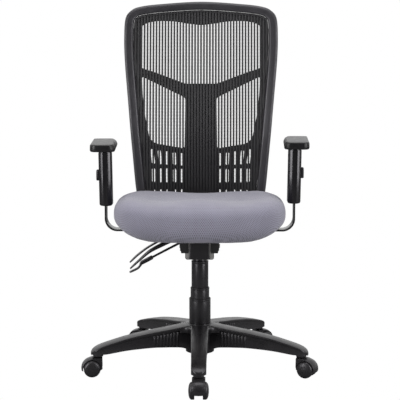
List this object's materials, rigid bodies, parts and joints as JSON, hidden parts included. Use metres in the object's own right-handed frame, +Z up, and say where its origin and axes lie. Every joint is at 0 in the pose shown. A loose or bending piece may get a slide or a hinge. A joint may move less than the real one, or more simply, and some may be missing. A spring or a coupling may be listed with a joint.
{
  "type": "task chair",
  "caption": "High-back office chair with a mesh back, padded fabric seat, height-adjustable arms, gas lift, tilt mechanism and a five-star base on twin-wheel casters.",
  "frame": {"origin": "on the floor, on the axis of the gas lift", "axes": "+Z up; the sitter faces -Y; +X to the right of someone who faces the chair"},
  "size_m": [0.7163, 0.7307, 1.1245],
  "materials": {
    "nylon": "satin moulded black nylon",
    "gloss_plastic": "polished black plastic",
    "wheel_nylon": "matt black nylon tread",
    "black_steel": "gloss black powder coat",
    "bare_steel": "ground steel",
    "seat_fabric": "lavender-grey knitted cloth over foam",
    "back_mesh": "black open mesh cloth",
    "plywood": "bare plywood",
    "pad_urethane": "matt dark grey urethane skin"
  },
  "bodies": {
    "base": {"five_star_base": "nylon", "gas_outer_tube": "black_steel", "gas_guide_bush": "nylon", "gas_thrust_bearing": "bare_steel", "cover_lower": "nylon"},
    "caster_front": {"caster_hood_front": "nylon", "caster_stem_front": "bare_steel", "caster_axle_front": "bare_steel"},
    "wheel_front_a": {"caster_wheel_front_a": "wheel_nylon"},
    "wheel_front_b": {"caster_wheel_front_b": "wheel_nylon"},
    "caster_right": {"caster_hood_right": "nylon", "caster_stem_right": "bare_steel", "caster_axle_right": "bare_steel"},
    "wheel_right_a": {"caster_wheel_right_a": "wheel_nylon"},
    "wheel_right_b": {"caster_wheel_right_b": "wheel_nylon"},
    "caster_rear_right": {"caster_hood_rear_right": "nylon", "caster_stem_rear_right": "bare_steel", "caster_axle_rear_right": "bare_steel"},
    "wheel_rear_right_a": {"caster_wheel_rear_right_a": "wheel_nylon"},
    "wheel_rear_right_b": {"caster_wheel_rear_right_b": "wheel_nylon"},
    "caster_rear_left": {"caster_hood_rear_left": "nylon", "caster_stem_rear_left": "bare_steel", "caster_axle_rear_left": "bare_steel"},
    "wheel_rear_left_a": {"caster_wheel_rear_left_a": "wheel_nylon"},
    "wheel_rear_left_b": {"caster_wheel_rear_left_b": "wheel_nylon"},
    "caster_left": {"caster_hood_left": "nylon", "caster_stem_left": "bare_steel", "caster_axle_left": "bare_steel"},
    "wheel_left_a": {"caster_wheel_left_a": "wheel_nylon"},
    "wheel_left_b": {"caster_wheel_left_b": "wheel_nylon"},
    "rod": {"gas_piston_rod": "bare_steel"},
    "column": {"gas_cylinder": "black_steel", "cover_upper": "nylon", "mechanism_housing": "black_steel", "tilt_shaft": "bare_steel", "recline_shaft": "bare_steel", "recline_spring": "bare_steel"},
    "middle_cover": {"cover_middle": "nylon"},
    "release_pin": {"gas_release_pin": "bare_steel"},
    "lift_lever": {"lever_lift": "gloss_plastic"},
    "recline_lever": {"lever_recline": "gloss_plastic"},
    "tilt_lever": {"lever_tilt": "gloss_plastic"},
    "seat": {"seat_plate": "black_steel", "seat_board": "plywood", "seat_cushion": "seat_fabric", "arm_bracket_left": "black_steel", "arm_bracket_right": "black_steel"},
    "back": {"back_bracket": "black_steel", "back_rim": "nylon", "back_carrier": "nylon", "back_mesh": "back_mesh", "mesh_spline": "nylon"},
    "arm_left": {"arm_sleeve_left": "gloss_plastic", "arm_pad_plate_left": "nylon", "arm_pad_left": "pad_urethane"},
    "button_left": {"arm_button_left": "gloss_plastic"},
    "arm_right": {"arm_sleeve_right": "gloss_plastic", "arm_pad_plate_right": "nylon", "arm_pad_right": "pad_urethane"},
    "button_right": {"arm_button_right": "gloss_plastic"}
  },
  "joints": [
    {"name": "caster_swivel_front", "type": "hinge", "parent": "base", "child": "caster_front", "pos_m": [0, -0.32, 0.06], "axis": [0, 0, 1], "continuous": true},
    {"name": "wheel_spin_front_a", "type": "hinge", "parent": "caster_front", "child": "wheel_front_a", "pos_m": [0, -0.3395, 0.025], "axis": [1, 0, 0], "continuous": true},
    {"name": "wheel_spin_front_b", "type": "hinge", "parent": "caster_front", "child": "wheel_front_b", "pos_m": [0, -0.3395, 0.025], "axis": [1, 0, 0], "continuous": true},
    {"name": "caster_swivel_right", "type": "hinge", "parent": "base", "child": "caster_right", "pos_m": [0.30434, -0.09889, 0.06], "axis": [0, 0, 1], "continuous": true},
    {"name": "wheel_spin_right_a", "type": "hinge", "parent": "caster_right", "child": "wheel_right_a", "pos_m": [0.32171, -0.10774, 0.025], "axis": [0.454, 0.891, 0], "continuous": true},
    {"name": "wheel_spin_right_b", "type": "hinge", "parent": "caster_right", "child": "wheel_right_b", "pos_m": [0.32171, -0.10774, 0.025], "axis": [0.454, 0.891, 0], "continuous": true},
    {"name": "caster_swivel_rear_right", "type": "hinge", "parent": "base", "child": "caster_rear_right", "pos_m": [0.18809, 0.25889, 0.06], "axis": [0, 0, 1], "continuous": true},
    {"name": "wheel_spin_rear_right_a", "type": "hinge", "parent": "caster_rear_right", "child": "wheel_rear_right_a", "pos_m": [0.20406, 0.27007, 0.025], "axis": [-0.5736, 0.8192, 0], "continuous": true},
    {"name": "wheel_spin_rear_right_b", "type": "hinge", "parent": "caster_rear_right", "child": "wheel_rear_right_b", "pos_m": [0.20406, 0.27007, 0.025], "axis": [-0.5736, 0.8192, 0], "continuous": true},
    {"name": "caster_swivel_rear_left", "type": "hinge", "parent": "base", "child": "caster_rear_left", "pos_m": [-0.18809, 0.25889, 0.06], "axis": [0, 0, 1], "continuous": true},
    {"name": "wheel_spin_rear_left_a", "type": "hinge", "parent": "caster_rear_left", "child": "wheel_rear_left_a", "pos_m": [-0.20641, 0.26555, 0.025], "axis": [-0.342, -0.9397, 0], "continuous": true},
    {"name": "wheel_spin_rear_left_b", "type": "hinge", "parent": "caster_rear_left", "child": "wheel_rear_left_b", "pos_m": [-0.20641, 0.26555, 0.025], "axis": [-0.342, -0.9397, 0], "continuous": true},
    {"name": "caster_swivel_left", "type": "hinge", "parent": "base", "child": "caster_left", "pos_m": [-0.30434, -0.09889, 0.06], "axis": [0, 0, 1], "continuous": true},
    {"name": "wheel_spin_left_a", "type": "hinge", "parent": "caster_left", "child": "wheel_left_a", "pos_m": [-0.3236, -0.10194, 0.025], "axis": [0.1564, -0.9877, 0], "continuous": true},
    {"name": "wheel_spin_left_b", "type": "hinge", "parent": "caster_left", "child": "wheel_left_b", "pos_m": [-0.3236, -0.10194, 0.025], "axis": [0.1564, -0.9877, 0], "continuous": true},
    {"name": "seat_swivel", "type": "hinge", "parent": "base", "child": "rod", "pos_m": [0, 0, 0.06], "axis": [0, 0, 1], "continuous": true},
    {"name": "gas_lift", "type": "slide", "parent": "rod", "child": "column", "axis": [0, 0, 1], "range_m": [-0.1, 0]},
    {"name": "middle_cover_slide", "type": "slide", "parent": "base", "child": "middle_cover", "axis": [0, 0, 1], "range_m": [-0.0305, 0.0005]},
    {"name": "lift_lever_pull", "type": "hinge", "parent": "column", "child": "lift_lever", "pos_m": [-0.03, 0, 0.404], "axis": [0, 1, 0], "range_deg": [0, 8], "stiffness_Nm_per_rad": 1.2, "springref_deg": -8.59},
    {"name": "release_pin_press", "type": "slide", "parent": "column", "child": "release_pin", "axis": [0, 0, 1], "range_m": [-0.0046, 0.0002]},
    {"name": "recline_lever_turn", "type": "hinge", "parent": "column", "child": "recline_lever", "pos_m": [-0.03, 0.026, 0.3965], "axis": [0, 1, 0], "range_deg": [-6, 6]},
    {"name": "tilt_lever_turn", "type": "hinge", "parent": "column", "child": "tilt_lever", "pos_m": [-0.03, 0.052, 0.3975], "axis": [0, 1, 0], "range_deg": [-6, 6]},
    {"name": "seat_tilt", "type": "hinge", "parent": "column", "child": "seat", "pos_m": [0, -0.065, 0.39], "axis": [-1, 0, 0], "range_deg": [-5, 6]},
    {"name": "back_recline", "type": "hinge", "parent": "column", "child": "back", "pos_m": [0, 0.062, 0.378], "axis": [-1, 0, 0], "range_deg": [0, 20], "stiffness_Nm_per_rad": 60, "springref_deg": -20.05},
    {"name": "arm_height_left", "type": "slide", "parent": "seat", "child": "arm_left", "axis": [0, 0, 1], "range_m": [-0.024, 0.04]},
    {"name": "arm_button_press_left", "type": "slide", "parent": "arm_left", "child": "button_left", "axis": [1, 0, 0], "range_m": [0, 0.004], "stiffness_N_per_m": 800, "springref_m": -0.002},
    {"name": "arm_height_right", "type": "slide", "parent": "seat", "child": "arm_right", "axis": [0, 0, 1], "range_m": [-0.032, 0.032]},
    {"name": "arm_button_press_right", "type": "slide", "parent": "arm_right", "child": "button_right", "axis": [-1, 0, 0], "range_m": [0, 0.004], "stiffness_N_per_m": 800, "springref_m": -0.002}
  ],
  "couplings": [
    {"joint": "middle_cover_slide", "follows": "gas_lift", "ratio": 0.3},
    {"joint": "release_pin_press", "follows": "lift_lever_pull", "m_per_rad": -0.031}
  ]
}
